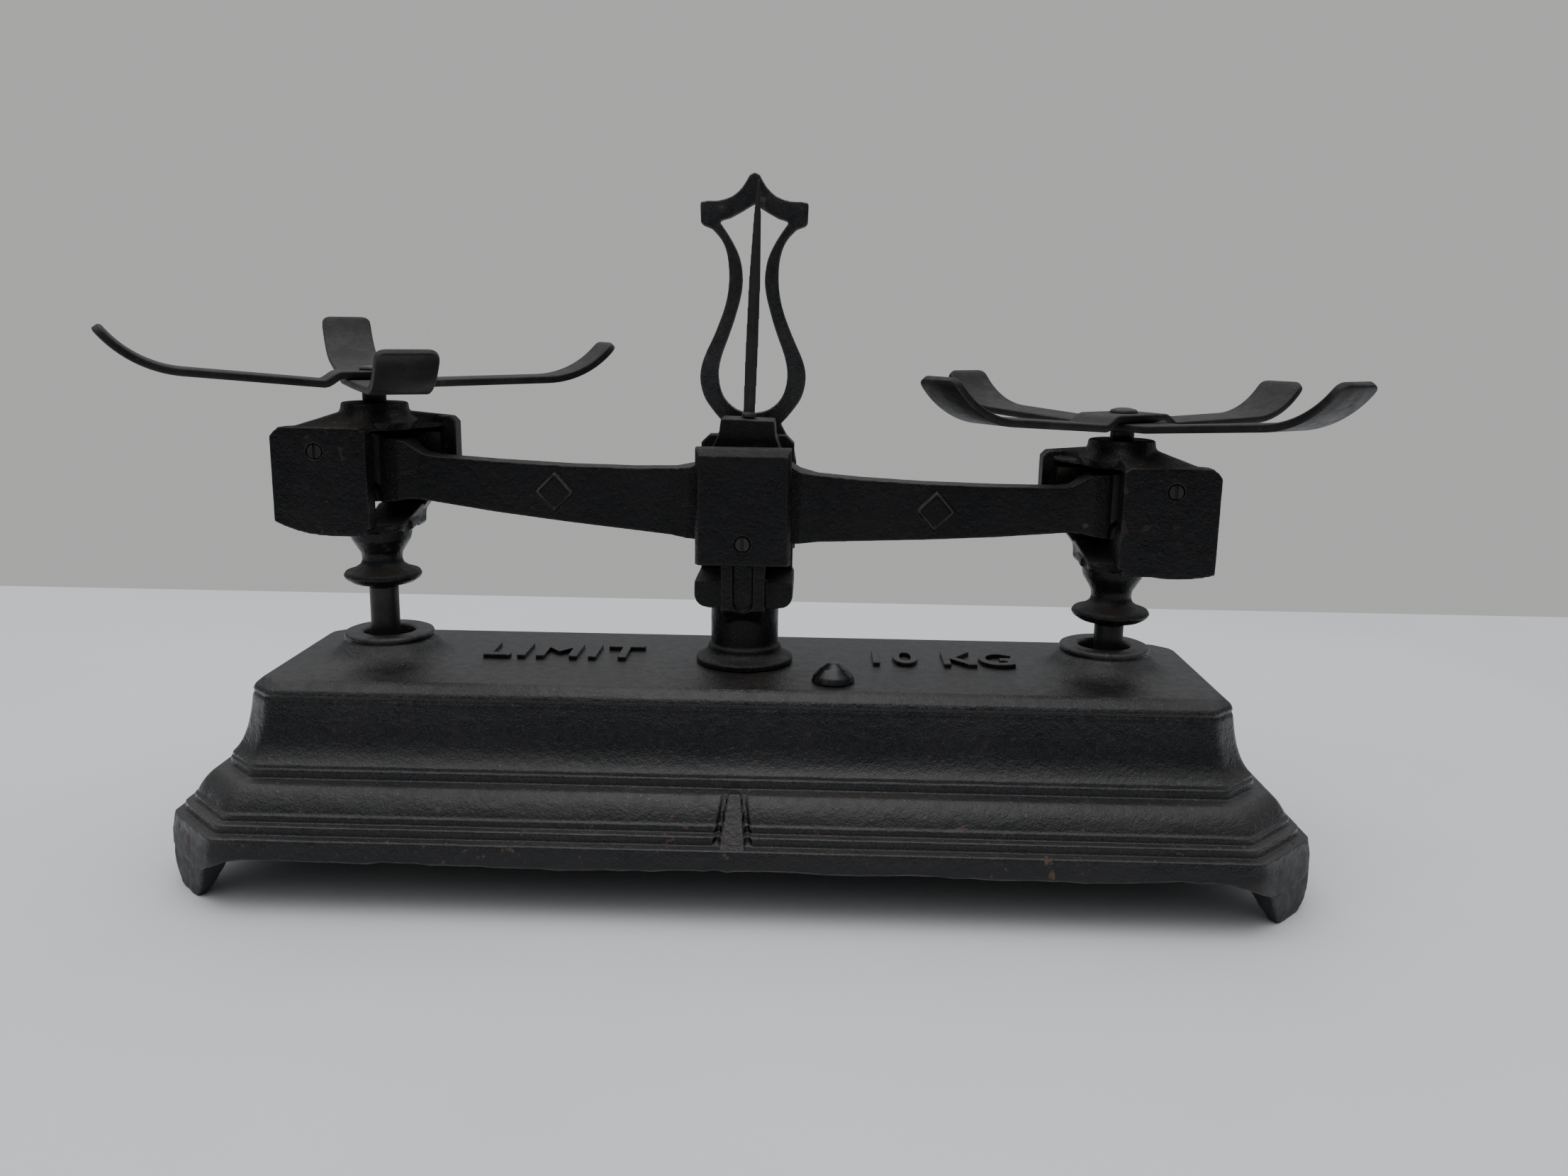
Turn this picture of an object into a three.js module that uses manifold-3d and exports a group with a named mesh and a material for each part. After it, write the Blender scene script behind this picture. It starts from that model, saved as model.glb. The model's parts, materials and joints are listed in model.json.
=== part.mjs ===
// Roberval counter balance in black cast iron, without its pans.
// Millimetres, +Z up, +X along the beam, origin on the floor under the middle of the base.
// A tilting beam on a forked column carries two upright pan carriers. Each carrier's rod runs down
// through a collar into the hollow base, where a stabiliser bar keeps it upright.
import * as THREE from "three";
import { mergeVertices } from "three/addons/utils/BufferGeometryUtils.js";
import Module from "manifold-3d";

const wasm = await Module();
wasm.setup();

// ---- driving dimensions -------------------------------------------------
const GAP = 0.3; // clearance between pieces that touch
const TILT = THREE.MathUtils.degToRad(1.9); // the beam rests with its +X side down

const BASE = {
  halfLength: 170, halfWidth: 38.5, corner: 6, cornerGrowth: 0.556, // top face; the corner cut grows outwards
  top: 74, skirt: 19.5, ceiling: 67.5,
};
const COLLAR = { x: 136, top: 83.1, hole: 9.4, lip: 15.4 };
const SEAL = { x: 33.5, y: -26.5, radius: 7.9, height: 7, shank: 3.5 };
const FOOT = { height: 26, thickness: 8 };
const COLUMN = { radius: 12.7, shoulder: 97, ledge: 107, half: 18.2, top: 159 };
const WALL = { inner: 9.8, outer: 16.8, slotHalf: 6.5 }; // the two fork walls, by distance from the middle
const COVER = { halfWidth: 17.2, bottom: 114.6, thickness: 4.4, screwZ: 122.5 };
const SCREW = { head: 2.6, shank: 1.8, headHole: 2.9, shankHole: 2.1 };
const PIVOT_Z = 140; // height of the three knife edges
const ARM = 137.5; // middle knife edge to end knife edge
const BEAM = { armHalf: 5, hubHalf: 8.5, saddleTop: 166 };
const LOZENGE = { x: 70.3, z: 135.8, halfWidth: 6.9, halfHeight: 7.2, raised: 0.9 };
const KNIFE = { half: 4, height: 10 };
const LINK = { z: 32, height: 12, half: 2.5, overhang: 7, pin: 2 };
const BRACKET = { inner: 8, outer: 11, halfLength: 10, bottom: 25 };
const CARRIER = {
  cheekIn: 13, cheekOut: 21, outboard: 31.5, inboard: 26, lap: 3, backTop: 159.3,
  standTop: 165.2, standRadius: 12, discRadius: 14.4, rod: 5.4, rodBottom: 27,
  frontScrew: [15.5, 148.6], backScrew: [-14, 151],
};
const STRIP = { width: 19.5, thickness: 2.8, bendStart: 62.5, bendRadius: 34.5, bendAngle: 51, hubHalf: 12 };
const STUD = { radius: 4.3, neck: 3.2, bottom: 156.5 };
const LYRE = { x: 1.3, front: 17.1, back: 20.1 };
const ROUND = 40; // facets on a large turned piece
const SMALL_ROUND = 20; // facets on a pin, screw or bore

// ---- materials ----------------------------------------------------------
function finish(color, roughness, metalness) {
  return new THREE.MeshStandardMaterial({ color, roughness, metalness });
}
const PAINTED_IRON = () => finish(0x2b2b2d, 0.5, 0.3);
const DARK_STEEL = () => finish(0x3a3836, 0.45, 0.7);
const BRIGHT_STEEL = () => finish(0x77746e, 0.35, 0.9);
const LEAD = () => finish(0x3c3d40, 0.4, 0.5);

// ---- solids -------------------------------------------------------------
function solidOf(geometry) {
  const bare = geometry.clone();
  bare.deleteAttribute("normal");
  bare.deleteAttribute("uv");
  const merged = mergeVertices(bare, 1e-4);
  return new wasm.Manifold(new wasm.Mesh({
    numProp: 3,
    vertProperties: merged.attributes.position.array,
    triVerts: new Uint32Array(merged.index.array),
  }));
}

function geometryOf(solid) {
  const { vertProperties, triVerts } = solid.getMesh();
  const geometry = new THREE.BufferGeometry();
  geometry.setAttribute("position", new THREE.BufferAttribute(vertProperties, 3));
  geometry.setIndex(new THREE.BufferAttribute(triVerts, 1));
  geometry.computeVertexNormals();
  return geometry;
}

function joined(first, ...others) {
  return others.reduce((solid, other) => solid.add(other), first);
}

function cutBy(first, ...others) {
  return others.reduce((solid, other) => solid.subtract(other), first);
}

function part(name, solid, material) {
  const mesh = new THREE.Mesh(geometryOf(solid), material);
  mesh.name = name;
  return mesh;
}

function box([x0, y0, z0], [x1, y1, z1]) {
  const geometry = new THREE.BoxGeometry(x1 - x0, y1 - y0, z1 - z0);
  return solidOf(geometry.translate((x0 + x1) / 2, (y0 + y1) / 2, (z0 + z1) / 2));
}

// A solid turned about a vertical axis; the profile is [radius, height] from the bottom up.
function turned(profile, segments = ROUND, x = 0, y = 0) {
  const points = profile.map(([r, z]) => new THREE.Vector2(r, z));
  const geometry = new THREE.LatheGeometry(points, segments);
  return solidOf(geometry.rotateX(Math.PI / 2).translate(x, y, 0));
}

function upright(radius, z0, z1, x = 0, y = 0, segments = SMALL_ROUND) {
  return turned([[0, z0], [radius, z0], [radius, z1], [0, z1]], segments, x, y);
}

// A round bar from front (y0) to back (y1).
function crossBar(radius, y0, y1, x, z, segments = SMALL_ROUND) {
  const geometry = new THREE.CylinderGeometry(radius, radius, y1 - y0, segments);
  return solidOf(geometry.translate(x, (y0 + y1) / 2, z));
}

function flatPoints(pairs) {
  return pairs.map(([x, y]) => new THREE.Vector2(x, y));
}

function outline(pairs) {
  return new THREE.Shape(flatPoints(pairs));
}

// Points along a smooth curve through the given pairs.
function smooth(pairs, divisions) {
  return new THREE.SplineCurve(flatPoints(pairs)).getPoints(divisions);
}

// A flat plate standing upright: its outline is in X and Z, its thickness runs from y0 to y1.
function standingPlate(shape, y0, y1, curveSegments = 8) {
  const geometry = new THREE.ExtrudeGeometry(shape, { depth: y1 - y0, bevelEnabled: false, curveSegments });
  return solidOf(geometry.rotateX(Math.PI / 2).translate(0, y1, 0));
}

// A flat plate lying down: its outline is in X and Y, its thickness runs from z0 to z1.
function lyingPlate(shape, z0, z1) {
  const geometry = new THREE.ExtrudeGeometry(shape, { depth: z1 - z0, bevelEnabled: false });
  return solidOf(geometry.translate(0, 0, z0));
}

// A closed skin over a stack of rings that all have the same number of points, first ring lowest.
function lofted(rings) {
  const count = rings[0].length;
  const triangles = [];
  for (let level = 0; level + 1 < rings.length; level++) {
    for (let i = 0; i < count; i++) {
      const a = level * count + i;
      const b = level * count + ((i + 1) % count);
      triangles.push(a, b, b + count, a, b + count, a + count);
    }
  }
  const last = (rings.length - 1) * count;
  for (let i = 1; i + 1 < count; i++) {
    triangles.push(0, i + 1, i, last, last + i, last + i + 1);
  }
  const geometry = new THREE.BufferGeometry();
  geometry.setAttribute("position", new THREE.Float32BufferAttribute(rings.flat(2), 3));
  geometry.setIndex(triangles);
  return solidOf(geometry);
}

// ---- base ---------------------------------------------------------------
// An eight-sided ring at height z, grown outwards by offset from the top face.
function baseRing(offset, z, corner = BASE.corner + BASE.cornerGrowth * offset) {
  const x = BASE.halfLength + offset;
  const y = BASE.halfWidth + offset;
  const c = corner;
  return [
    [x - c, -y, z], [x, c - y, z], [x, y - c, z], [x - c, y, z],
    [c - x, y, z], [-x, y - c, z], [-x, c - y, z], [c - x, -y, z],
  ];
}

// The moulding from the skirt up: plinth, two small steps, round band, ledge, long cove, sloped rim.
function baseMoulding() {
  const path = new THREE.Path();
  path.moveTo(32.6, BASE.skirt);
  path.lineTo(31.2, 26.3);
  path.lineTo(28.4, 27.2);
  path.lineTo(27.8, 29.9);
  path.lineTo(25.4, 30.6);
  path.lineTo(24.8, 32.8);
  path.quadraticCurveTo(21.6, 38.5, 17.6, 41);
  path.lineTo(13.6, 42.3);
  path.lineTo(12.8, 46.2);
  path.quadraticCurveTo(7.2, 50.5, 5.2, 67);
  path.lineTo(4, 69.7);
  path.lineTo(0, BASE.top);
  return path.getPoints(6).map((p) => baseRing(p.x, p.y));
}

// A corner foot on the base's corner facet: straight towards the long side, bulging towards the end.
function baseFoot(sideX, sideY) {
  const end = sideX * sideY; // the plate's own +X points to the end of the base, or away from it
  const foot = new THREE.Shape();
  foot.moveTo(-15.5 * end, FOOT.height);
  foot.quadraticCurveTo(-9 * end, 8, -1.5 * end, 0);
  foot.lineTo(11.5 * end, 0);
  foot.quadraticCurveTo(20 * end, 3, 18.2 * end, 14);
  foot.lineTo(15.5 * end, FOOT.height);
  const settings = { depth: FOOT.thickness, bevelEnabled: false, curveSegments: 6 };
  const plate = new THREE.ExtrudeGeometry(foot, settings);
  const turn = Math.atan2(sideY, sideX) - Math.PI / 2;
  const outward = 0.5;
  const facet = 19.5; // how far the facet's middle lies out from the top face's corner
  plate.rotateX(Math.PI / 2).translate(0, outward, 0).rotateZ(turn);
  plate.translate(sideX * (BASE.halfLength + facet), sideY * (BASE.halfWidth + facet), 0);
  return solidOf(plate);
}

// The tapered rib in the middle of each long side.
function baseRib(side) {
  const ring = (z, half, y) => {
    const points = [[-half, -y, z], [half, -y, z], [half, -y + 8, z], [-half, -y + 8, z]];
    return side < 0 ? points : points.map(([px, py, pz]) => [-px, -py, pz]);
  };
  return lofted([ring(26, 4.6, BASE.halfWidth + 31.4), ring(41.4, 2, BASE.halfWidth + 18.4)]);
}

function collarSolid(x) {
  const profile = [
    [COLLAR.hole, BASE.top - 1], [22, BASE.top - 1], [20.6, BASE.top + 0.4], [17, BASE.top + 2.6],
    [14.9, BASE.top + 5.6], [15.4, BASE.top + 7], [15.4, BASE.top + 8.4],
    [14.6, COLLAR.top], [10.4, COLLAR.top], [COLLAR.hole, COLLAR.top - 0.8], [COLLAR.hole, BASE.top - 1],
  ];
  return turned(profile, ROUND, x);
}

function baseCasting() {
  const hollow = lofted([
    baseRing(26.5, -1), baseRing(25, 24), baseRing(17, 32), baseRing(6, 44), baseRing(-2, 58),
    baseRing(-5, BASE.ceiling),
  ]);
  const feet = [[1, 1], [1, -1], [-1, 1], [-1, -1]].map(([sx, sy]) => baseFoot(sx, sy));
  const holes = [-COLLAR.x, COLLAR.x].map((x) => upright(COLLAR.hole, 60, BASE.top + 20, x, 0, ROUND));
  const body = joined(lofted(baseMoulding()), baseRib(-1), baseRib(1));
  return joined(
    cutBy(body, hollow, ...holes, upright(4.2, 60, 80), upright(SEAL.shank + GAP, 60, 80, SEAL.x, SEAL.y)),
    ...feet, collarSolid(-COLLAR.x), collarSolid(COLLAR.x),
  );
}

function sealPlug() {
  const { x, y, radius, height, shank } = SEAL;
  const top = BASE.top + GAP;
  const dome = [
    [0, 66], [shank, 66], [shank, top], [radius, top], [radius - 0.8, top + 2.2], [4.6, top + 5],
    [1.8, top + height - 0.2], [0, top + height],
  ];
  return turned(dome, 24, x, y);
}

// ---- column -------------------------------------------------------------
function columnShaft() {
  const foot = BASE.top + GAP;
  const r = COLUMN.radius;
  return turned([
    [0, foot], [18.3, foot], [18.3, foot + 2], [15.6, foot + 3.2], [14, foot + 4.8],
    [13.7, foot + 6.6], [r, foot + 7.4], [r, COLUMN.shoulder + 1], [0, COLUMN.shoulder + 1],
  ]);
}

function columnHead() {
  const { half, shoulder, ledge } = COLUMN;
  const block = new THREE.Shape();
  block.moveTo(5 - half, shoulder);
  block.lineTo(half - 5, shoulder);
  block.absarc(half - 5, shoulder + 5, 5, -Math.PI / 2, 0, false);
  block.lineTo(half, ledge);
  block.lineTo(-half, ledge);
  block.absarc(5 - half, shoulder + 5, 5, Math.PI, Math.PI * 1.5, false);
  return standingPlate(block, -11.5, WALL.outer, 5);
}

function forkWalls() {
  const { top } = COLUMN;
  const back = standingPlate(outline([
    [-17.5, 99], [17.5, 99], [17.5, top - 3], [14.5, top], [-14.5, top], [-17.5, top - 3],
  ]), WALL.inner, WALL.outer);
  const front = standingPlate(outline([
    [-8, 97], [8, 97], [8, 117], [16.5, 119], [16.5, 152], [-16.5, 152], [-16.5, 119], [-8, 117],
  ]), -WALL.outer, -WALL.inner);
  const chin = lofted([
    [[-6, -11, 91], [6, -11, 91], [6, -8, 91], [-6, -8, 91]],
    [[-8, -WALL.outer, 97], [8, -WALL.outer, 97], [8, -8, 97], [-8, -8, 97]],
    [[-8, -WALL.outer, 108], [8, -WALL.outer, 108], [8, -8, 108], [-8, -8, 108]],
  ]);
  return joined(back, front, chin);
}

function columnCasting() {
  const recess = new THREE.Shape();
  recess.moveTo(-3.6, 130);
  recess.lineTo(-3.6, 100);
  recess.absarc(0, 100, 3.6, Math.PI, Math.PI * 2, false);
  recess.lineTo(3.6, 130);
  const half = WALL.slotHalf;
  const slot = outline([[-half, 128], [half, 128], [half, 170], [-half, 170]]);
  return cutBy(
    joined(columnShaft(), columnHead(), forkWalls()),
    standingPlate(recess, -20, 2 - WALL.outer),
    standingPlate(slot, -20, -WALL.inner + 1),
    standingPlate(slot, WALL.inner - 1, 20),
    upright(4.2, 60, 91),
    crossBar(SCREW.shankHole, -20, -8, 0, COVER.screwZ),
    crossBar(SCREW.shankHole, 8, 20, 0, COVER.screwZ),
  );
}

// A block with a wide V in its top that the middle knife edge rocks in.
function middleBearing(y0, y1) {
  const apex = PIVOT_Z - GAP;
  const top = apex + 5;
  return standingPlate(outline([
    [-6.2, 128.3], [6.2, 128.3], [6.2, top], [5.6, top], [0, apex], [-5.6, top], [-6.2, top],
  ]), y0, y1);
}

function frontCover() {
  const { halfWidth: w, bottom, thickness, screwZ } = COVER;
  const y = -(WALL.outer + GAP);
  const ring = (half, top, depth) => [[-half, bottom], [half, bottom], [half, top], [-half, top]]
    .map(([x, z]) => [x, y - depth, z]);
  const rings = [ring(w, 157.2, 0), ring(w, 156.6, thickness / 2), ring(w - 1.4, 153.8, thickness)];
  return cutBy(lofted(rings), crossBar(SCREW.headHole, -30, -10, 0, screwZ));
}

function backCover() {
  const { halfWidth: w, bottom, thickness, screwZ } = COVER;
  const y = LYRE.back + GAP;
  const plate = standingPlate(outline([
    [-w, bottom], [w, bottom], [w, 154.5], [w - 2, 156.6], [2 - w, 156.6], [-w, 154.5],
  ]), y, y + thickness);
  return cutBy(plate, crossBar(SCREW.headHole, 10, 40, 0, screwZ));
}

// A slotted screw along Y; its head faces the side that direction gives.
function slottedScrew(x, z, headY, tipY) {
  const direction = Math.sign(headY - tipY);
  const [neckY, slotY] = [headY - 3 * direction, headY - 0.8 * direction];
  const between = (a, b) => [Math.min(a, b), Math.max(a, b)];
  const head = crossBar(SCREW.head, ...between(neckY, headY), x, z);
  const shank = crossBar(SCREW.shank, ...between(tipY, neckY), x, z, 16);
  const [s0, s1] = between(slotY, headY + direction);
  const slot = box([x - 0.45, s0, z - 4], [x + 0.45, s1, z + 4]);
  return cutBy(joined(head, shank), slot);
}

// ---- lyre ---------------------------------------------------------------
// The lyre-shaped frame behind the needle: wings at the top, a waist, a round belly and a flared foot.
function lyreFrame() {
  const shape = new THREE.Shape();
  shape.moveTo(0, 254.4);
  const brow = smooth([[1.9, 253.4], [4.2, 249.5], [8, 245.9], [13, 244.3], [17, 244.1]], 8);
  const side = smooth([
    [15.6, 234], [12, 230], [9.9, 224.6], [9.2, 216], [10.6, 206.5], [14.5, 196], [18.6, 187], [20, 180],
    [18.6, 173], [15, 167.4], [10.9, 162.7],
  ], 30);
  const wing = flatPoints([[19.6, 243.8], [20, 243], [19.8, 236.2], [18.8, 235.2]]);
  const foot = flatPoints([[13.2, 158.6], [16, 154], [17, 148], [17, COVER.bottom]]);
  const right = [...brow, ...wing, ...side, ...foot];
  right.forEach((p) => shape.lineTo(p.x, p.y));
  right.reverse().forEach((p) => shape.lineTo(-p.x, p.y));

  const inner = smooth([
    [12.9, 236.8], [8.6, 230.6], [5.2, 223.6], [4.1, 216], [5.1, 208.5], [8.2, 198], [12, 187.5], [13, 180],
    [11, 172.6], [6, 168], [0, 166.6],
  ], 30);
  const half = [...flatPoints([[0, 243], [5, 240], [9, 237.9]]), ...inner];
  const mirrored = half.slice(1, -1).reverse().map((p) => new THREE.Vector2(-p.x, p.y));
  const window = new THREE.Shape([...half, ...mirrored]);
  return cutBy(
    standingPlate(shape, LYRE.front, LYRE.back),
    standingPlate(window, LYRE.front - 1, LYRE.back + 1),
    crossBar(SCREW.headHole, 10, 30, -LYRE.x, COVER.screwZ),
  );
}

// ---- beam, modelled level -----------------------------------------------
// Half of the beam's side outline, from the middle of its top round to the middle of its underside.
function beamHalfOutline() {
  return [
    [0, BEAM.saddleTop], [9.75, BEAM.saddleTop], [10.2, 161], [12.4, 155.6], [16.5, 150], [20, 148],
    [26, 146.9], [42, 146.1], [65, 145.7], [92, 146], [115, 146.7], [119.5, 147.4], [122.5, 149.4],
    [125.8, 152], [129, 152.6], [150, 152.6], [152, 150.8], [152, 131.2], [150, 129.4], [132, 129.4],
    [128, 129.8], [124, 130.6],
    [118, 130.2], [92, 127.2], [66, 124.9], [40, 123], [18, 121.4], [0, 121],
  ];
}

function knifeSection(edgeUp, grow) {
  const s = edgeUp ? -1 : 1;
  const w = KNIFE.half + grow;
  return [
    [0, PIVOT_Z - s * grow * 2], [w, PIVOT_Z + s * 7], [w, PIVOT_Z + s * (KNIFE.height + grow)],
    [-w, PIVOT_Z + s * (KNIFE.height + grow)], [-w, PIVOT_Z + s * 7],
  ];
}

function knifeBar(x, edgeUp, halfLength, grow = 0) {
  const section = knifeSection(edgeUp, grow).map(([px, pz]) => [px + x, pz]);
  return standingPlate(outline(section), -halfLength, halfLength);
}

function beamCasting() {
  const half = beamHalfOutline();
  const profile = outline([...half, ...half.slice(1, -1).reverse().map(([x, z]) => [-x, z])]);
  const slab = standingPlate(profile, -BEAM.hubHalf, BEAM.hubHalf);
  const [hub, arm] = [BEAM.hubHalf, BEAM.armHalf];
  const cheeks = [];
  for (const side of [-1, 1]) {
    for (const face of [-1, 1]) {
      const plan = [[21, hub + 4], [21, hub], [27, arm], [121, arm], [127, hub], [127, hub + 4]];
      cheeks.push(lyingPlate(outline(plan.map(([x, y]) => [side * x, face * y])), 110, 158));
    }
  }
  const { halfWidth, halfHeight, raised, z } = LOZENGE;
  const lozenges = [-LOZENGE.x, LOZENGE.x].map((x) => standingPlate(outline([
    [x - halfWidth, z], [x, z - halfHeight], [x + halfWidth, z], [x, z + halfHeight],
  ]), -arm - raised, 1 - arm));
  return cutBy(
    joined(cutBy(slab, ...cheeks), ...lozenges),
    knifeBar(0, false, 20, GAP), knifeBar(-ARM, true, 20, GAP), knifeBar(ARM, true, 20, GAP),
    upright(1.8, BEAM.saddleTop - 8, BEAM.saddleTop + 2),
  );
}

function needle() {
  const level = (z, halfX, halfY) => [[-halfX, 0, z], [0, -halfY, z], [halfX, 0, z], [0, halfY, z]];
  const top = BEAM.saddleTop + GAP;
  return joined(
    lofted([
      level(top, 2.2, 2), level(190, 2.3, 1.8), level(215, 2.1, 1.5), level(238, 1.3, 1),
      level(250, 0.4, 0.5),
    ]),
    turned([[0, top], [3, top], [2.6, top + 1.6], [0, top + 1.6]], 16),
    upright(1.5, BEAM.saddleTop - 7, top + 1, 0, 0, 12),
  );
}

function beamGroup() {
  const group = new THREE.Group();
  group.add(
    part("beam_casting", beamCasting(), PAINTED_IRON()),
    part("middle_knife", knifeBar(0, false, WALL.outer - 0.4), BRIGHT_STEEL()),
    part("left_end_knife", knifeBar(-ARM, true, CARRIER.cheekIn - 0.5), BRIGHT_STEEL()),
    part("right_end_knife", knifeBar(ARM, true, CARRIER.cheekIn - 0.5), BRIGHT_STEEL()),
    part("needle", needle(), DARK_STEEL()),
  );
  return turnedAboutPivot(group, PIVOT_Z);
}

// Tips a group that was modelled level by TILT about the Y axis at the given height.
function turnedAboutPivot(group, height) {
  group.rotation.y = TILT;
  group.position.set(-height * Math.sin(TILT), 0, height * (1 - Math.cos(TILT)));
  return group;
}

// ---- pan carriers, modelled about x = 0 with +X outboard -----------------
function frontCheek(outerBottom) {
  const { outboard, lap, cheekIn, cheekOut } = CARRIER;
  const top = 156;
  const shape = new THREE.Shape();
  shape.moveTo(-lap, 120.7);
  shape.quadraticCurveTo(outboard * 0.5, 114.7, outboard, outerBottom);
  shape.lineTo(outboard, top - 2.5);
  shape.lineTo(outboard - 2, top);
  shape.lineTo(-lap, top);
  return standingPlate(shape, -cheekOut, -cheekIn);
}

function backCheek() {
  const { inboard, cheekIn, cheekOut, backTop: top } = CARRIER;
  const outboardEdge = 4;
  return standingPlate(outline([
    [outboardEdge, 117], [outboardEdge, top], [2 - inboard, top], [-inboard, top - 2], [-inboard, 140],
    [-20, 132], [-15.5, 128.3], [-11.5, 123.2], [-10.5, 117],
  ]), cheekIn, cheekOut);
}

// The slanting web that ties the outboard front cheek to the inboard back cheek.
function carrierWeb(z0, z1, frontReach, backReach) {
  const { cheekOut } = CARRIER;
  const lap = 1.3;
  return lyingPlate(outline([
    [-lap, -cheekOut], [frontReach, -cheekOut], [frontReach, -14], [12.5, 1], [lap, 14], [lap, cheekOut],
    [-backReach, cheekOut], [-backReach, 14], [-12.5, -1], [-lap, -14],
  ]), z0, z1);
}

// One half of the saddle that rises from a cheek's top to the pan stand; face is -1 in front, 1 behind.
function carrierSaddle(face, cheekTop, reach) {
  const { cheekOut } = CARRIER;
  const crest = 161.8;
  const ring = (z, points) => points.map(([x, y]) => [-face * x, -face * y, z]);
  return lofted([
    ring(155.5, [[-1.3, -cheekOut], [reach, -cheekOut], [13, 0], [-13, 0]]),
    ring(cheekTop, [[-1.3, 0.2 - cheekOut], [reach, 0.2 - cheekOut], [13, 0], [-13, 0]]),
    ring(crest, [[-5, -10], [9, -8], [12, 0], [-12, 0]]),
  ]);
}

// The slanting gusset between the lower web and the back cheek.
function carrierGusset(cheekIn) {
  return lofted([
    [[-10.5, -8, 118], [4, -8, 118], [4, cheekIn + 1, 118], [-10.5, cheekIn + 1, 118]],
    [[-11, -7, 120.6], [4, -7, 120.6], [4, cheekIn + 1, 120.6], [-11, cheekIn + 1, 120.6]],
    [[-13, 9.6, 126], [4, 9.6, 126], [4, cheekIn + 1, 126], [-13, cheekIn + 1, 126]],
  ]);
}

function carrierCasting(outerBottom) {
  const { standTop, standRadius: stand, discRadius: disc, rod, outboard, inboard, backTop } = CARRIER;
  const { frontScrew, backScrew, cheekIn } = CARRIER;
  const top = turned([
    [0, 155.4], [14, 155.4], [15.4, 158.6], [13.2, 160.6], [12.2, 162.8], [stand, standTop - 0.6],
    [stand - 0.5, standTop], [0, standTop],
  ]);
  const bottom = turned([
    [0, 96.6], [rod + 1, 96.6], [disc - 3, 97.8], [disc - 0.6, 99.4], [disc, 100.6], [disc - 0.8, 102],
    [10.4, 103], [8, 104.6], [7.3, 106.6], [7.6, 109], [9.2, 111.6], [10.8, 114.2], [11.4, 117],
    [11.4, 119.4], [0, 119.4],
  ]);
  const body = joined(
    frontCheek(outerBottom), backCheek(), carrierWeb(155.4, 157, outboard - 3, inboard - 3), top,
    carrierSaddle(-1, 156, outboard - 4), carrierSaddle(1, backTop, inboard - 3),
    carrierWeb(118, 121, 12, 11), carrierGusset(cheekIn), bottom,
  );
  return cutBy(
    body,
    upright(STUD.radius + GAP, STUD.bottom - GAP, 170),
    upright(4.3, 90, 106),
    crossBar(SCREW.headHole, -30, -17, ...frontScrew), crossBar(SCREW.shankHole, -30, -10, ...frontScrew),
    crossBar(SCREW.headHole, 17, 30, ...backScrew), crossBar(SCREW.shankHole, 10, 30, ...backScrew),
  );
}

// The steel seat inside a cheek, with a V in its underside that rests on the end knife.
function endBearing(from, to, y0, y1) {
  const apex = PIVOT_Z + GAP;
  const [low, high] = [Math.min(from, to), Math.max(from, to)];
  const screw = from > 0 ? CARRIER.frontScrew : CARRIER.backScrew;
  const plate = outline([
    [low, 136], [-4.4, 136], [0, apex], [4.4, 136], [high, 136], [high, 153.6], [low, 153.6],
  ]);
  return cutBy(standingPlate(plate, y0, y1), crossBar(SCREW.shankHole, y0 - 1, y1 + 1, ...screw));
}

function guideRod() {
  const { rod, rodBottom } = CARRIER;
  const full = turned([
    [0, rodBottom], [rod - 1, rodBottom], [rod, rodBottom + 1], [rod, 96.3], [4, 96.3], [4, 105.7],
    [0, 105.7],
  ], 28);
  const slot = box([-10, -LINK.half - 0.4, 20], [10, LINK.half + 0.4, LINK.z + 10]);
  return cutBy(full, slot, crossBar(LINK.pin + GAP, -10, 10, 0, LINK.z));
}

function carrierGroup(name, side) {
  const { cheekIn, cheekOut, frontScrew, backScrew } = CARRIER;
  const outerBottom = side < 0 ? 123.3 : 119;
  const group = new THREE.Group();
  const add = (suffix, solid, material) => {
    const placed = side < 0 ? solid.mirror([1, 0, 0]) : solid;
    group.add(part(`${name}_${suffix}`, placed, material));
  };
  add("carrier_casting", carrierCasting(outerBottom), PAINTED_IRON());
  add("front_bearing", endBearing(26, -5, GAP - cheekIn, 4 - cheekIn), BRIGHT_STEEL());
  add("back_bearing", endBearing(-21, 5, cheekIn - 4, cheekIn - GAP), BRIGHT_STEEL());
  add("front_bearing_screw", slottedScrew(...frontScrew, 0.2 - cheekOut, 4.4 - cheekIn), DARK_STEEL());
  add("back_bearing_screw", slottedScrew(...backScrew, cheekOut - 0.2, cheekIn - 4.4), DARK_STEEL());
  add("guide_rod", guideRod(), DARK_STEEL());
  return atBeamEnd(group, side);
}

// Moves a group that was modelled about x = 0 to the end of the tilted beam.
function atBeamEnd(group, side) {
  group.position.set(side * ARM * Math.cos(TILT), 0, -side * ARM * Math.sin(TILT));
  return group;
}

// ---- pan crosses --------------------------------------------------------
// The middle line of one arm as [distance from hub, height]; an upper strip steps down beside the hub.
// An arm is [slope in degrees, how much longer its straight stretch is than the pattern's].
function armLine([slopeDegrees, extra], lift) {
  const slope = THREE.MathUtils.degToRad(slopeDegrees);
  const bend = THREE.MathUtils.degToRad(STRIP.bendAngle);
  const step = STRIP.hubHalf + 6;
  const bendStart = STRIP.bendStart + extra;
  const points = [[STRIP.hubHalf, lift], [step, 0]];
  const [bx, bz] = [bendStart, (bendStart - step) * Math.tan(slope)];
  const pieces = 7;
  for (let i = 0; i <= pieces; i++) {
    const a = slope + (bend * i) / pieces;
    const r = STRIP.bendRadius;
    points.push([bx + r * (Math.sin(a) - Math.sin(slope)), bz + r * (Math.cos(slope) - Math.cos(a))]);
  }
  return points;
}

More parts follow.
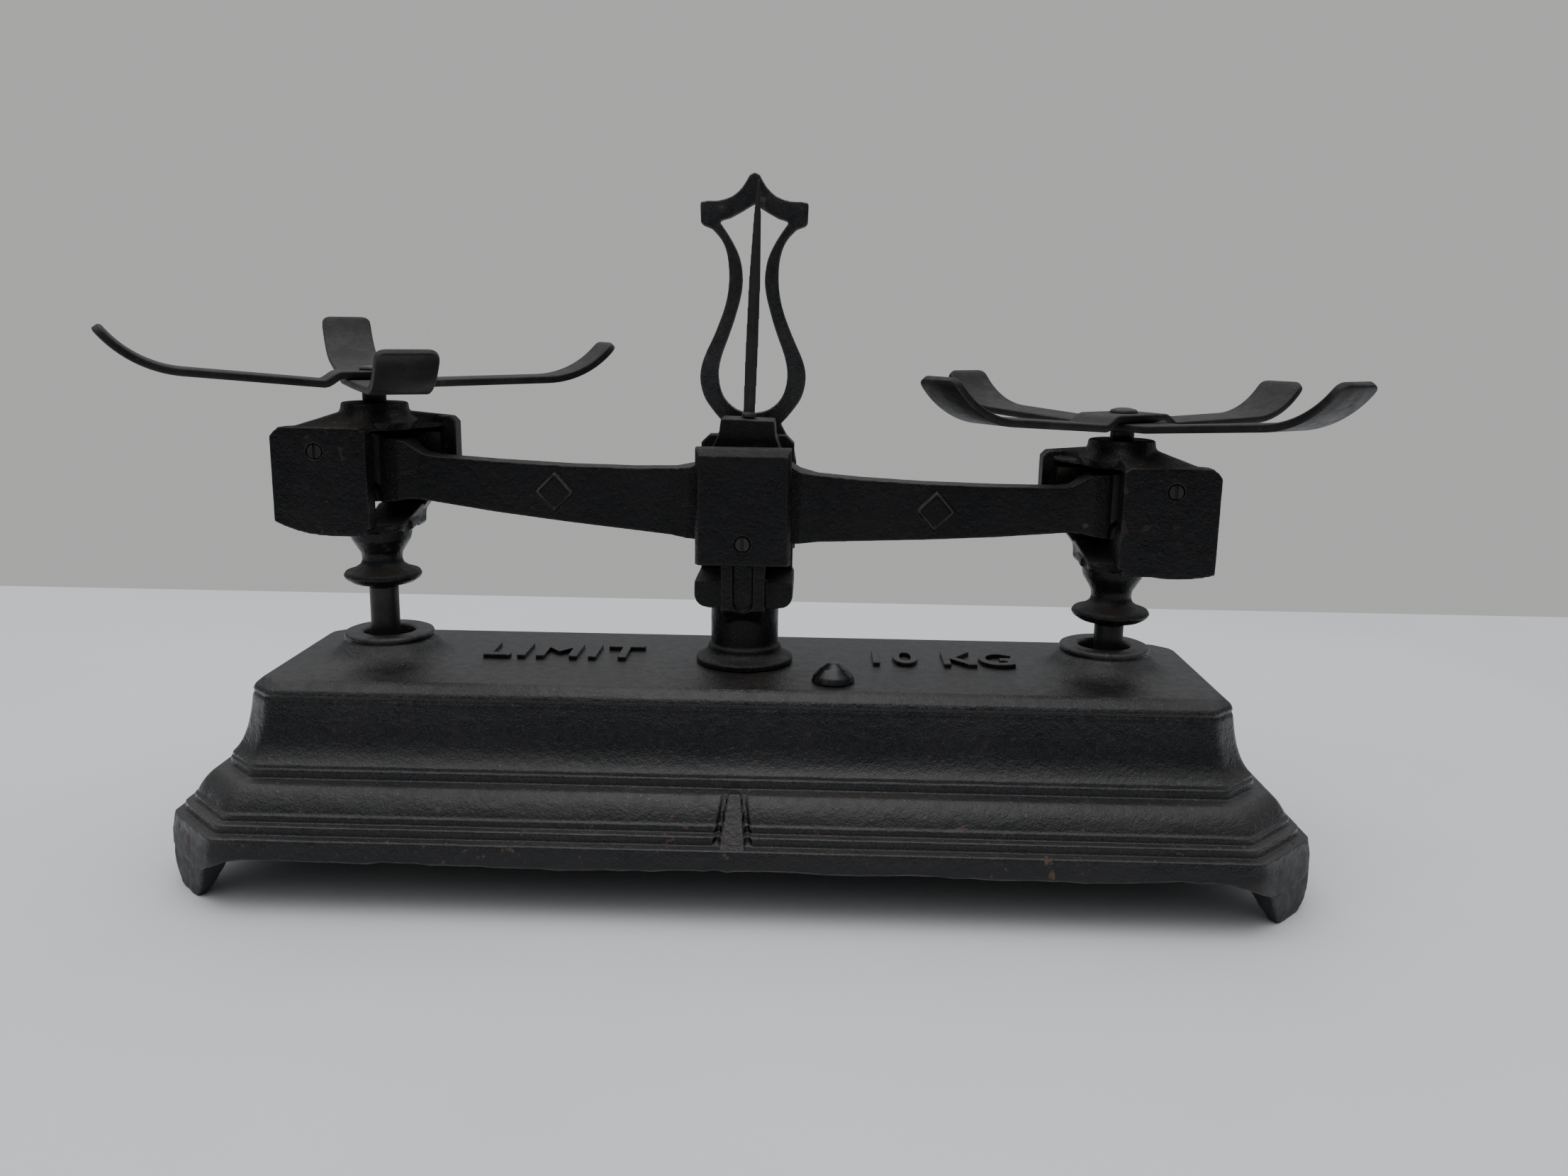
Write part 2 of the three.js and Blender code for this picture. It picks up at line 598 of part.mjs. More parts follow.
// A flat strip bent up at both ends, lying along +X; its hub bottom is at height z.
function bentStrip(z, lift, forwardArm, backwardArm) {
  const forward = armLine(forwardArm, lift);
  const backward = armLine(backwardArm, lift).map(([x, h]) => [-x, h]).reverse();
  const line = [...backward, ...forward];
  const half = STRIP.thickness / 2;
  const normals = line.map((_, i) => {
    const [ax, az] = line[Math.max(i - 1, 0)];
    const [bx, bz] = line[Math.min(i + 1, line.length - 1)];
    const length = Math.hypot(bx - ax, bz - az);
    return [-(bz - az) / length, (bx - ax) / length];
  });
  const face = (sign) => line.map(([x, h], i) => {
    const [nx, nz] = normals[i];
    return [x + sign * half * nx, z + half + h + sign * half * nz];
  });
  const section = outline([...face(-1), ...face(1).reverse()]);
  const strip = standingPlate(section, -STRIP.width / 2, STRIP.width / 2);
  return cutBy(strip, upright(STUD.neck + GAP, z - 10, z + 20));
}

// The stud that a cross turns on, with a collar under the strips and a riveted head over them.
function crossStud(collar) {
  const { radius, neck, bottom } = STUD;
  const ledge = CARRIER.standTop + collar;
  const top = ledge + 2 * STRIP.thickness + 2 * GAP;
  return turned([
    [0, bottom], [radius, bottom], [radius, ledge], [neck, ledge], [neck, top],
    [5.2, top], [4.6, top + 1.2], [2.4, top + 1.8], [0, top + 1.9],
  ], 24);
}

// A pan cross: each strip is [direction in degrees, forward arm, backward arm].
function crossGroup(name, side, collar, lower, upper) {
  const group = new THREE.Group();
  const hub = CARRIER.standTop + collar + GAP;
  const lift = STRIP.thickness + GAP;
  const strips = [["lower_strip", 0, lower], ["upper_strip", lift, upper]];
  for (const [suffix, rise, [direction, forward, backward]] of strips) {
    const mesh = part(`${name}_${suffix}`, bentStrip(hub, rise, forward, backward), PAINTED_IRON());
    mesh.rotation.z = THREE.MathUtils.degToRad(direction);
    group.add(mesh);
  }
  group.add(part(`${name}_cross_stud`, crossStud(collar), DARK_STEEL()));
  return atBeamEnd(group, side);
}

// ---- stabiliser linkage inside the base -----------------------------------
function stabiliserBar() {
  const { z, height, half, overhang, pin } = LINK;
  const shape = new THREE.Shape();
  shape.absarc(ARM, z, overhang, -Math.PI / 2, Math.PI / 2, false);
  shape.lineTo(0, z + height / 2 + 1);
  shape.absarc(-ARM, z, overhang, Math.PI / 2, Math.PI * 1.5, false);
  shape.lineTo(0, z - height / 2 - 1);
  const holes = [-ARM, ARM].map((x) => crossBar(pin + GAP, -10, 10, x, z));
  return cutBy(standingPlate(shape, -half, half), ...holes, crossBar(3.3, -10, 10, 0, z));
}

function linkPin(x) {
  const length = CARRIER.rod + 0.4;
  const bar = crossBar(LINK.pin, -length, length, x, LINK.z);
  const heads = [[-length - 1, -length], [length, length + 1]].map(([a, b]) => crossBar(3, a, b, x, LINK.z));
  return joined(bar, ...heads);
}

function stabiliserGroup() {
  const group = new THREE.Group();
  group.add(
    part("stabiliser_bar", stabiliserBar(), DARK_STEEL()),
    part("left_link_pin", linkPin(-ARM), DARK_STEEL()),
    part("right_link_pin", linkPin(ARM), DARK_STEEL()),
  );
  return turnedAboutPivot(group, LINK.z);
}

function stabiliserBracket() {
  const { inner, outer, halfLength, bottom } = BRACKET;
  const roof = BASE.ceiling - GAP;
  const solid = joined(
    box([-halfLength, -outer, bottom], [halfLength, -inner, roof]),
    box([-halfLength, inner, bottom], [halfLength, outer, roof]),
    box([-halfLength, -outer, roof - 3], [halfLength, outer, roof]),
  );
  return cutBy(solid, crossBar(3.3, -20, 20, 0, LINK.z), upright(4.2, 50, 80));
}

function bracketPin() {
  const { outer } = BRACKET;
  const heads = [[-outer - 2, -outer - GAP], [outer + GAP, outer + 2]]
    .map(([a, b]) => crossBar(4.5, a, b, 0, LINK.z));
  return joined(crossBar(3, -outer - 1, outer + 1, 0, LINK.z), ...heads);
}

function spacer(side) {
  const [near, far] = [LINK.half + GAP, BRACKET.inner - GAP];
  const [y0, y1] = side < 0 ? [-far, -near] : [near, far];
  return cutBy(crossBar(5, y0, y1, 0, LINK.z), crossBar(3.3, y0 - 1, y1 + 1, 0, LINK.z));
}

function columnNut() {
  const top = BASE.ceiling - GAP - 3 - GAP;
  return cutBy(upright(7.2, top - 6.5, top, 0, 0, 6), upright(4.2, 40, 80));
}

// ---- assembly -----------------------------------------------------------
const balance = new THREE.Group();
balance.add(
  part("base_casting", baseCasting(), PAINTED_IRON()),
  part("seal_plug", sealPlug(), LEAD()),
  part("column_casting", columnCasting(), PAINTED_IRON()),
  part("column_stud", upright(3.9, 54, 90), DARK_STEEL()),
  part("column_nut", columnNut(), DARK_STEEL()),
  part("front_middle_bearing", middleBearing(-WALL.outer, GAP - WALL.inner), BRIGHT_STEEL()),
  part("back_middle_bearing", middleBearing(WALL.inner - GAP, WALL.outer), BRIGHT_STEEL()),
  part("front_cover", frontCover(), PAINTED_IRON()),
  part("back_cover", backCover(), PAINTED_IRON()),
  part("front_cover_screw", slottedScrew(0, COVER.screwZ, -21.7, -11), DARK_STEEL()),
  part("back_cover_screw", slottedScrew(0, COVER.screwZ, LYRE.back + 4.9, 11), DARK_STEEL()),
  part("stabiliser_bracket", stabiliserBracket(), PAINTED_IRON()),
  part("bracket_pin", bracketPin(), DARK_STEEL()),
  part("front_link_spacer", spacer(-1), DARK_STEEL()),
  part("back_link_spacer", spacer(1), DARK_STEEL()),
);

const lyre = part("lyre_frame", lyreFrame(), PAINTED_IRON());
lyre.position.x = LYRE.x;
balance.add(
  lyre,
  beamGroup(),
  carrierGroup("left", -1),
  carrierGroup("right", 1),
  crossGroup("left", -1, 5.3, [115.8, [8.2, 0], [0.6, 0]], [27, [1.4, 0.5], [5.3, 0.8]]),
  crossGroup("right", 1, 3.4, [-55.5, [5, 4], [2.5, -1]], [33.5, [1.2, 0], [4.1, -1.5]]),
  stabiliserGroup(),
);

export default balance;
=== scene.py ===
import json
import math

import bmesh
import bpy
from mathutils import Matrix, Vector, noise


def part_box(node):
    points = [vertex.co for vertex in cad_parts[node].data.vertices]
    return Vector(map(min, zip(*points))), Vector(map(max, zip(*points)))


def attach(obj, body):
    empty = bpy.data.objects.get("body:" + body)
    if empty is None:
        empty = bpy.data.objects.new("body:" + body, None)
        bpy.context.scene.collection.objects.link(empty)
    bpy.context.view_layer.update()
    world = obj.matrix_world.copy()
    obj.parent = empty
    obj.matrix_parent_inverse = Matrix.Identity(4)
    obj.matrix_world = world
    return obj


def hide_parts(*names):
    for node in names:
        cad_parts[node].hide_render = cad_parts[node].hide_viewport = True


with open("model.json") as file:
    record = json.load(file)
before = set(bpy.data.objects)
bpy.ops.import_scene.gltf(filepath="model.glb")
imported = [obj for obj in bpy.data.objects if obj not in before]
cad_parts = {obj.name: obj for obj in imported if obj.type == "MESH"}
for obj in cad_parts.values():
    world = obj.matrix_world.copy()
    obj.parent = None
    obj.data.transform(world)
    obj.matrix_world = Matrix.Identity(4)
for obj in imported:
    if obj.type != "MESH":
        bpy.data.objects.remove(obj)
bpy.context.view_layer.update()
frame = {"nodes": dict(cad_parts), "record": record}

# Lengths are written in millimetres and become metres through MM.
MM = 0.001

# ---- sizes of the object: the CAD model's, but for slightly taller and wider collars ----
TOP_HALF_LENGTH, TOP_HALF_WIDTH, TOP_CORNER, CORNER_GROWTH = 170.0, 38.5, 6.0, 0.556
BASE_TOP, SKIRT, CEILING = 74.0, 19.5, 67.5
COLLAR_X, COLLAR_HOLE, COLLAR_TOP, COLLAR_FILLET = 136.0, 9.4, 83.7, 26.0
STRIP_WIDTH, STRIP_THICKNESS, HUB_HALF = 19.5, 2.8, 12.0
BEND_START, BEND_RADIUS, BEND_ANGLE = 62.5, 34.5, math.radians(51)
STUD_TOP_TO_STRIP = 7.8  # from the top of a cross's stud down to the underside of its lower strip
STRIP_GAP = 0.3
LETTER_SIZE = 25.5
BEAM_TILT, PIVOT_HEIGHT, BEAM_FACE = math.radians(1.9), 140.0, -5.0
LOZENGE_X, LOZENGE_Z, LOZENGE_HALF_WIDTH, LOZENGE_HALF_HEIGHT = 70.3, 135.8, 7.0, 7.4


# ---- camera ----------------------------------------------------------------
def make_camera():
    """A wide lens close in front of the balance, tipped down and rolled a little."""
    focal_px, width_px, sensor = 1785.0, 2212.0, 36.0
    place = Vector((25.3, -467.0, 200.6)) * MM
    yaw, pitch, roll = -0.0227, 0.2069, 0.0152
    ahead = Vector((math.sin(yaw) * math.cos(pitch), math.cos(yaw) * math.cos(pitch), -math.sin(pitch)))
    level = Vector((math.cos(yaw), -math.sin(yaw), 0.0))
    over = level.cross(ahead)
    right = level * math.cos(roll) + over * math.sin(roll)
    up = over * math.cos(roll) - level * math.sin(roll)
    data = bpy.data.cameras.new("camera")
    data.sensor_width = sensor
    data.lens = focal_px / width_px * sensor
    data.clip_start = 0.01
    camera = bpy.data.objects.new("camera", data)
    camera.matrix_world = Matrix.Translation(place) @ Matrix((right, up, -ahead)).transposed().to_4x4()
    bpy.context.scene.collection.objects.link(camera)
    bpy.context.scene.camera = camera


# ---- node helpers ------------------------------------------------------------
class Graph:
    """A short way to wire a material's nodes."""

    def __init__(self, tree):
        self.tree = tree

    def add(self, kind, inputs=None, **settings):
        node = self.tree.nodes.new(kind)
        for key, value in settings.items():
            setattr(node, key, value)
        for key, value in (inputs or {}).items():
            if isinstance(value, bpy.types.NodeSocket):
                self.tree.links.new(value, node.inputs[key])
            else:
                node.inputs[key].default_value = value
        return node

    def math(self, operation, a, b=0.0, clamp=False):
        node = self.add("ShaderNodeMath", operation=operation, use_clamp=clamp)
        for socket, value in zip(node.inputs, (a, b)):
            if isinstance(value, bpy.types.NodeSocket):
                self.tree.links.new(value, socket)
            else:
                socket.default_value = value
        return node.outputs[0]

    def noise(self, where, scale, detail=4.0, rough=0.55):
        return self.add("ShaderNodeTexNoise", {
            "Vector": where, "Scale": scale, "Detail": detail, "Roughness": rough,
        }).outputs["Fac"]

    def ramp(self, value, low, high, out_low=0.0, out_high=1.0):
        return self.add("ShaderNodeMapRange", {
            "Value": value, "From Min": low, "From Max": high, "To Min": out_low, "To Max": out_high,
        }, interpolation_type="SMOOTHSTEP").outputs[0]

    def mix(self, factor, a, b):
        node = self.add("ShaderNodeMix", data_type="RGBA")
        open_inputs = [s for s in node.inputs if s.enabled]
        for key, value in (("Factor", factor), ("A", a), ("B", b)):
            kind = "VALUE" if key == "Factor" else "RGBA"
            socket = next(s for s in open_inputs if s.name == key and s.type == kind)
            if isinstance(value, bpy.types.NodeSocket):
                self.tree.links.new(value, socket)
            else:
                socket.default_value = value
        return next(s for s in node.outputs if s.enabled)


def new_material(name):
    material = bpy.data.materials.new(name)
    material.use_nodes = True
    material.node_tree.nodes.clear()
    graph = Graph(material.node_tree)
    shader = graph.add("ShaderNodeBsdfPrincipled")
    output = graph.add("ShaderNodeOutputMaterial")
    graph.tree.links.new(shader.outputs[0], output.inputs[0])
    return material, graph, shader


# ---- materials ---------------------------------------------------------------
def painted_iron(name, dust=0.5, rust=0.3, rust_height=45.0, gloss=0.36, grain=1.0,
                 paint=(0.0045, 0.0045, 0.0052), shine=0.5):
    """Old black paint over cast iron: sandy grain, edges lightened partly as wear and partly as a painted
    highlight, dust on top and rust flecks near the floor.
    """
    material, g, shader = new_material(name)
    where = g.add("ShaderNodeTexCoord").outputs["Object"]
    geometry = g.add("ShaderNodeNewGeometry")
    normal = g.add("ShaderNodeSeparateXYZ", {"Vector": geometry.outputs["Normal"]}).outputs["Z"]
    height = g.add("ShaderNodeSeparateXYZ", {"Vector": where}).outputs["Z"]

    broad = g.noise(where, 22.0, 5.0, 0.6)
    blotch = g.noise(where, 110.0, 5.0, 0.62)
    speck = g.noise(where, 700.0, 3.0, 0.7)
    colour = g.mix(g.ramp(broad, 0.35, 0.7), (*paint, 1), (paint[0] * 2.0, paint[1] * 1.9, paint[2] * 1.8, 1))
    colour = g.mix(g.ramp(speck, 0.56, 0.74, 0.0, 0.35), colour, (0.024, 0.022, 0.021, 1))

    # Convex edges are lighter: partly paint worn through to the iron, partly a painted highlight where the
    # edges catch the light.
    edge = g.ramp(geometry.outputs["Pointiness"], 0.508, 0.57)
    worn_and_edge_highlight = g.math("MULTIPLY", edge, g.ramp(blotch, 0.36, 0.6, 0.3, 1.0), clamp=True)
    colour = g.mix(g.math("MULTIPLY", worn_and_edge_highlight, 0.8), colour, (0.07, 0.066, 0.063, 1))

    facing_up = g.ramp(normal, 0.3, 0.97)
    patch = g.math("ADD", g.math("MULTIPLY", broad, 0.6), g.math("MULTIPLY", blotch, 0.5))
    dusty = g.math("MULTIPLY", facing_up, g.ramp(patch, 0.42, 0.68, 0.55, 0.85))
    dusty = g.math("MULTIPLY", dusty, dust, clamp=True)
    colour = g.mix(dusty, colour, (0.038, 0.032, 0.027, 1))

    settled = g.math("ADD", g.math("MULTIPLY", facing_up, dust), 0.12)
    lint = g.math("MULTIPLY", g.ramp(speck, 0.645, 0.7), settled, clamp=True)
    colour = g.mix(g.math("MULTIPLY", lint, 0.7), colour, (0.2, 0.18, 0.15, 1))

    low = g.ramp(height, rust_height * MM, rust_height * 0.45 * MM)
    scatter = g.noise(where, 260.0, 4.0, 0.6)
    flecks = g.math("ADD", g.math("MULTIPLY", blotch, 0.45), g.math("MULTIPLY", scatter, 0.55))
    flecks = g.ramp(flecks, 0.6, 0.64)
    rusty = g.math("MULTIPLY", flecks, g.math("ADD", g.math("MULTIPLY", low, rust), rust * 0.15), clamp=True)
    colour = g.mix(rusty, colour, (0.095, 0.058, 0.042, 1))
    g.tree.links.new(colour, shader.inputs["Base Color"])

    dull = g.math("MULTIPLY", g.math("MAXIMUM", dusty, rusty), 0.4)
    rough = g.math("ADD", g.ramp(scatter, 0.3, 0.75, gloss - 0.06, gloss + 0.1), dull)
    coarse = g.math("MULTIPLY", g.ramp(height, 30.0 * MM, 16.0 * MM), 0.3)
    rough = g.math("ADD", rough, coarse, clamp=True)
    g.tree.links.new(rough, shader.inputs["Roughness"])
    shader.inputs["Specular IOR Level"].default_value = shine

    sand = g.math("ADD", g.math("MULTIPLY", speck, 0.6), g.math("MULTIPLY", g.noise(where, 1800.0, 2.0), 0.3))
    sand = g.math("ADD", sand, g.math("MULTIPLY", rusty, 0.4))
    bump = g.add("ShaderNodeBump", {"Height": sand, "Strength": 0.7 * grain, "Distance": 0.0006})
    settings = {"Height": scatter, "Strength": 0.3 * grain, "Distance": 0.0011, "Normal": bump.outputs[0]}
    swell = g.add("ShaderNodeBump", settings)
    g.tree.links.new(swell.outputs[0], shader.inputs["Normal"])
    return material


def steel(name, colour, gloss, tarnish=0.5, metallic=0.85):
    """Turned or ground steel with fine marks, darkened in patches."""
    material, g, shader = new_material(name)
    where = g.add("ShaderNodeTexCoord").outputs["Object"]
    broad = g.noise(where, 60.0, 5.0, 0.6)
    fine = g.noise(where, 420.0, 3.0, 0.65)
    stained = g.math("MULTIPLY", g.ramp(broad, 0.4, 0.65), tarnish)
    dark = tuple(c * 0.3 for c in colour)
    paint = g.mix(stained, (*colour, 1), (*dark, 1))
    paint = g.mix(g.math("MULTIPLY", g.ramp(fine, 0.6, 0.72), 0.35 * tarnish), paint, (0.09, 0.05, 0.03, 1))
    g.tree.links.new(paint, shader.inputs["Base Color"])
    dull = g.math("ADD", g.math("MULTIPLY", stained, 0.2), gloss - 0.08)
    rough = g.math("ADD", g.math("MULTIPLY", fine, 0.18), dull, clamp=True)
    g.tree.links.new(rough, shader.inputs["Roughness"])
    shader.inputs["Metallic"].default_value = metallic
    rings = g.add("ShaderNodeMapping", {"Vector": where, "Scale": (40.0, 40.0, 2600.0)}).outputs[0]
    marks = g.math("ADD", g.math("MULTIPLY", g.noise(rings, 1.0, 2.0), 0.5), g.math("MULTIPLY", fine, 0.5))
    bump = g.add("ShaderNodeBump", {"Height": marks, "Strength": 0.2, "Distance": 0.0003})
    g.tree.links.new(bump.outputs[0], shader.inputs["Normal"])
    return material


def pale_cloth():
    material, g, shader = new_material("pale_floor")
    where = g.add("ShaderNodeTexCoord").outputs["Object"]
    tone = g.mix(g.ramp(g.noise(where, 3.0), 0.3, 0.7), (0.74, 0.74, 0.75, 1), (0.8, 0.8, 0.81, 1))
    g.tree.links.new(tone, shader.inputs["Base Color"])
    shader.inputs["Roughness"].default_value = 0.95
    shader.inputs["Specular IOR Level"].default_value = 0.15
    weave = g.noise(where, 900.0, 2.0)
    bump = g.add("ShaderNodeBump", {"Height": weave, "Strength": 0.15, "Distance": 0.0004})
    g.tree.links.new(bump.outputs[0], shader.inputs["Normal"])
    return material


IRON_BASE = painted_iron("iron_base", dust=0.5, rust=1.0, rust_height=44.0, gloss=0.25, shine=0.46)
IRON_HEAD = painted_iron("iron_head", dust=0.75, rust=0.12, gloss=0.3, shine=0.22)
IRON_CARRIER = painted_iron("iron_carrier", dust=1.0, rust=0.22, rust_height=600.0,
                            gloss=0.28, shine=0.22)
IRON_LYRE = painted_iron("iron_lyre", dust=0.35, rust=0.25, rust_height=1000.0,
                         gloss=0.36, grain=0.6, shine=0.7)
STRIP_PAINT = painted_iron("strip_paint", 0.3, 0.2, 1000.0, gloss=0.38, grain=0.5,
                           paint=(0.007, 0.0065, 0.0065), shine=0.18)
NEEDLE_STEEL = steel("needle_steel", (0.05, 0.047, 0.045), 0.34, 0.6, 0.6)
DARK_STEEL = steel("dark_steel", (0.035, 0.033, 0.032), 0.38, 0.6, 0.5)
BRIGHT_STEEL = steel("knife_steel", (0.06, 0.056, 0.05), 0.34, 0.7)
SEAL_PAINT = painted_iron("seal_paint", dust=0.2, rust=0.0, gloss=0.24, grain=0.3)


# ---- mesh helpers ------------------------------------------------------------
def piece_from(name, bm, body, material, stands_for=()):
    """Finishes a bmesh into a smooth-shaded piece that rides on a body."""
    bmesh.ops.recalc_face_normals(bm, faces=bm.faces)
    mesh = bpy.data.meshes.new(name)
    bm.to_mesh(mesh)
    bm.free()
    mesh.shade_smooth()
    return finish_piece(bpy.data.objects.new(name, mesh), body, material, stands_for)


def finish_piece(piece, body, material, stands_for=()):
    if piece.name not in bpy.context.scene.collection.objects:
        bpy.context.scene.collection.objects.link(piece)
    piece.data.materials.clear()
    piece.data.materials.append(material)
    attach(piece, body)
    if stands_for:
        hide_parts(*stands_for)
    return piece


def baked(piece):
    """Applies the piece's modifiers to its mesh."""
    graph = bpy.context.evaluated_depsgraph_get()
    mesh = bpy.data.meshes.new_from_object(piece.evaluated_get(graph))
    piece.modifiers.clear()
    piece.data = mesh
    return piece


def soften(piece, voxel, rounds, keep=1.0, ripple=0.0):
    """Gives a sharp solid the soft edges and faint waviness of a sand casting."""
    remesh = piece.modifiers.new("remesh", "REMESH")
    remesh.mode = "VOXEL"
    remesh.voxel_size = voxel * MM
    remesh.use_smooth_shade = True
    smooth = piece.modifiers.new("smooth", "SMOOTH")
    smooth.factor = 0.5
    smooth.iterations = rounds
    baked(piece)
    if ripple:
        normals = [vertex.normal.copy() for vertex in piece.data.vertices]
        for vertex, normal in zip(piece.data.vertices, normals):
            wave = noise.noise(vertex.co * 160.0) + 0.5 * noise.noise(vertex.co * 420.0)
            vertex.co += normal * (wave * ripple * MM)
    if keep < 1.0:
        thin = piece.modifiers.new("thin", "DECIMATE")
        thin.ratio = keep
        baked(piece)
    piece.data.shade_smooth()
    return piece


def cast_copy(node, name, body, material, voxel=0.6, rounds=3, keep=0.5, ripple=0.08):
    """A cast-looking piece made from the CAD node's own shape, standing for it."""
    source = frame["nodes"][node]
    piece = bpy.data.objects.new(name, source.data.copy())
    bpy.context.scene.collection.objects.link(piece)
    merge = bmesh.new()
    merge.from_mesh(piece.data)
    bmesh.ops.remove_doubles(merge, verts=merge.verts, dist=1e-6)
    merge.to_mesh(piece.data)
    merge.free()
    soften(piece, voxel, rounds, keep, ripple)
    return finish_piece(piece, body, material, [node])


def bridge(bm, ring_a, ring_b):
    count = len(ring_a)
    for i in range(count):
        j = (i + 1) % count
        bm.faces.new((ring_a[i], ring_a[j], ring_b[j], ring_b[i]))


def ring_of(bm, points):
    return [bm.verts.new(Vector(p) * MM) for p in points]


def circle(x, y, radius, z, count=64):
    turn = 2 * math.pi / count
    return [(x + radius * math.cos(i * turn), y + radius * math.sin(i * turn), z) for i in range(count)]


def smoothstep(low, high, value):
    t = min(1.0, max(0.0, (value - low) / (high - low)))
    return t * t * (3 - 2 * t)


# ---- base --------------------------------------------------------------------
def curve_points(start, control, end, steps):
    points = []
    for i in range(1, steps + 1):
        t = i / steps
        shares = ((1 - t) ** 2, 2 * t * (1 - t), t * t)
        points.append(tuple(shares[0] * s + shares[1] * c + shares[2] * e
                            for s, c, e in zip(start, control, end)))
    return points


def moulding_profile():
    """The outer moulding from the skirt up, as softened (offset from the top face, height) points."""
    line = [(32.6, SKIRT), (31.4, 26.4), (28.2, 26.9), (28.0, 29.9), (25.2, 30.3), (25.0, 32.6), (24.2, 33.0)]
    line += curve_points((24.2, 33.0), (21.6, 38.5), (17.6, 41.0), 10)
    line += [(13.4, 41.9), (13.2, 44.9), (12.4, 45.3), (12.8, 46.2)]
    line += curve_points((12.8, 46.2), (7.2, 50.5), (5.2, 67.0), 14)
    line += [(4.5, 68.7), (5.0, 69.3), (4.2, 71.0), (1.6, 73.2), (0.0, BASE_TOP), (-2.5, BASE_TOP)]
    spacing = 0.45
    dense = [line[0]]
    for a, b in zip(line, line[1:]):
        steps = max(1, round(math.dist(a, b) / spacing))
        dense += [tuple(p + (q - p) * i / steps for p, q in zip(a, b)) for i in range(1, steps + 1)]
    softened = [
        tuple(0.25 * p + 0.5 * q + 0.25 * r for p, q, r in zip(a, b, c))
        for a, b, c in zip(dense, dense[1:], dense[2:])
    ]
    return [dense[0], *softened, dense[-1]]


def octagon(offset):
    x, y = TOP_HALF_LENGTH + offset, TOP_HALF_WIDTH + offset
    c = TOP_CORNER + CORNER_GROWTH * offset
    right = [(x - c, -y), (x, c - y), (x, y - c), (x - c, y)]
    return right + [(c - x, y), (-x, y - c), (-x, c - y), (c - x, -y)]


def side_steps(length, is_long):
    """Where the points lie along one side of the base, as shares of its length; closer by the middle rib."""
    edge = 1.3 / length
    count = max(2, round(length / 5.0))
    steps = [edge + (1 - 2 * edge) * i / count for i in range(count + 1)]
    if is_long:
        fine = [0.5 + d * 0.7 / length for d in range(-16, 17)]
        clear = 0.5 - fine[0] + 0.5 / length
        steps = sorted([s for s in steps if abs(s - 0.5) > clear] + fine)
    return steps


# Every ring of the base takes the same shares, so the rings match point for point.
SIDE_SHARES = [side_steps(math.dist(a, b), math.dist(a, b) > 200)
               for a, b in zip(octagon(0), octagon(0)[1:] + octagon(0)[:1])]


def base_outline(offset, z):
    corners = octagon(offset)
    points = []
    for k, (a, b) in enumerate(zip(corners, corners[1:] + corners[:1])):
        before = corners[k - 1]
        share = SIDE_SHARES[k][0]
        ahead = [p + (q - p) * share for p, q in zip(a, b)]
        behind = [p + (q - p) * (1 - SIDE_SHARES[k - 1][-1]) for p, q in zip(a, before)]
        eased = [c * 0.5 + f * 0.25 + r * 0.25 for c, f, r in zip(a, ahead, behind)]
        points.append((*eased, z))
        points += [(a[0] + (b[0] - a[0]) * s, a[1] + (b[1] - a[1]) * s, z) for s in SIDE_SHARES[k]]
    return points


def rib_half(z):
    """Half the width of the middle rib, which narrows from its foot to its top."""
    foot_half, top_half, foot_z, height = 4.6, 2.0, 26.0, 15.4
    return foot_half + (top_half - foot_half) * (z - foot_z) / height


def weathered(point):
    """Moves a point of the base skin: grooves by the ribs, a rough lower edge and a casting's waviness."""
    x, y, z = point
    rim = abs(y) / (TOP_HALF_WIDTH + 31.0)
    if rim > 0.7 and 26.5 < z < 42.5 and abs(x) < 10:
        beside = abs(x) - rib_half(z)
        groove = smoothstep(0.0, 0.5, beside) * (1 - smoothstep(1.5, 2.6, beside))
        fade = smoothstep(26.5, 28.5, z) * (1 - smoothstep(40.5, 42.5, z))
        y -= math.copysign(1.5 * groove * fade, y)
    if z < SKIRT + 0.8:
        corner_x, corner_y, dip_length, dip_depth = 183.0, 51.0, 18.0, 6.5
        on_long_side = abs(y) > 55
        from_corner = corner_x - abs(x) if on_long_side else corner_y - abs(y)
        dip = dip_depth * (1 - min(1.0, max(0.0, from_corner / dip_length))) ** 1.7
        ragged = noise.noise(Vector((x * 0.045, y * 0.045, 1.7))) * 1.2
        ragged += noise.noise(Vector((x * 0.22, y * 0.22, 4.1))) * 0.7
        z += ragged - dip
    wave = noise.noise(Vector((x, y, z)) * 0.06) * 0.35 + noise.noise(Vector((x, y, z)) * 0.3) * 0.1
    if z < BASE_TOP - 0.3:
        y += math.copysign(wave, y)
    return (x, y, z)


def collar_profile():
    """Outside from the fillet up, over the lip and down the hole, as (radius, height)."""
    t = BASE_TOP
    flare = [(COLLAR_FILLET, t), (24.0, t + 0.5), (22.0, t + 1.5), (20.2, t + 2.8), (18.9, t + 4.2),
             (17.6, t + 5.8), (16.6, t + 6.6)]
    lip = [(16.4, t + 7.1), (16.6, t + 7.7), (16.6, t + 8.5), (16.2, t + 9.3), (15.2, COLLAR_TOP),
           (12.8, COLLAR_TOP + 0.05), (10.8, COLLAR_TOP - 0.05), (9.9, COLLAR_TOP - 0.4)]
    hole = [(COLLAR_HOLE, COLLAR_TOP - 1.2), (COLLAR_HOLE, t), (COLLAR_HOLE, CEILING)]
    return flare + lip + hole


def filled(bm, outer, holes):
    """Fills the flat region between one outer ring and the rings of its holes."""
    edges = []
    for ring in [outer, *holes]:
        for a, b in zip(ring, ring[1:] + ring[:1]):
            edge = bm.edges.get((a, b)) or bm.edges.new((a, b))
            edges.append(edge)
    bmesh.ops.triangle_fill(bm, edges=edges, use_beauty=True)


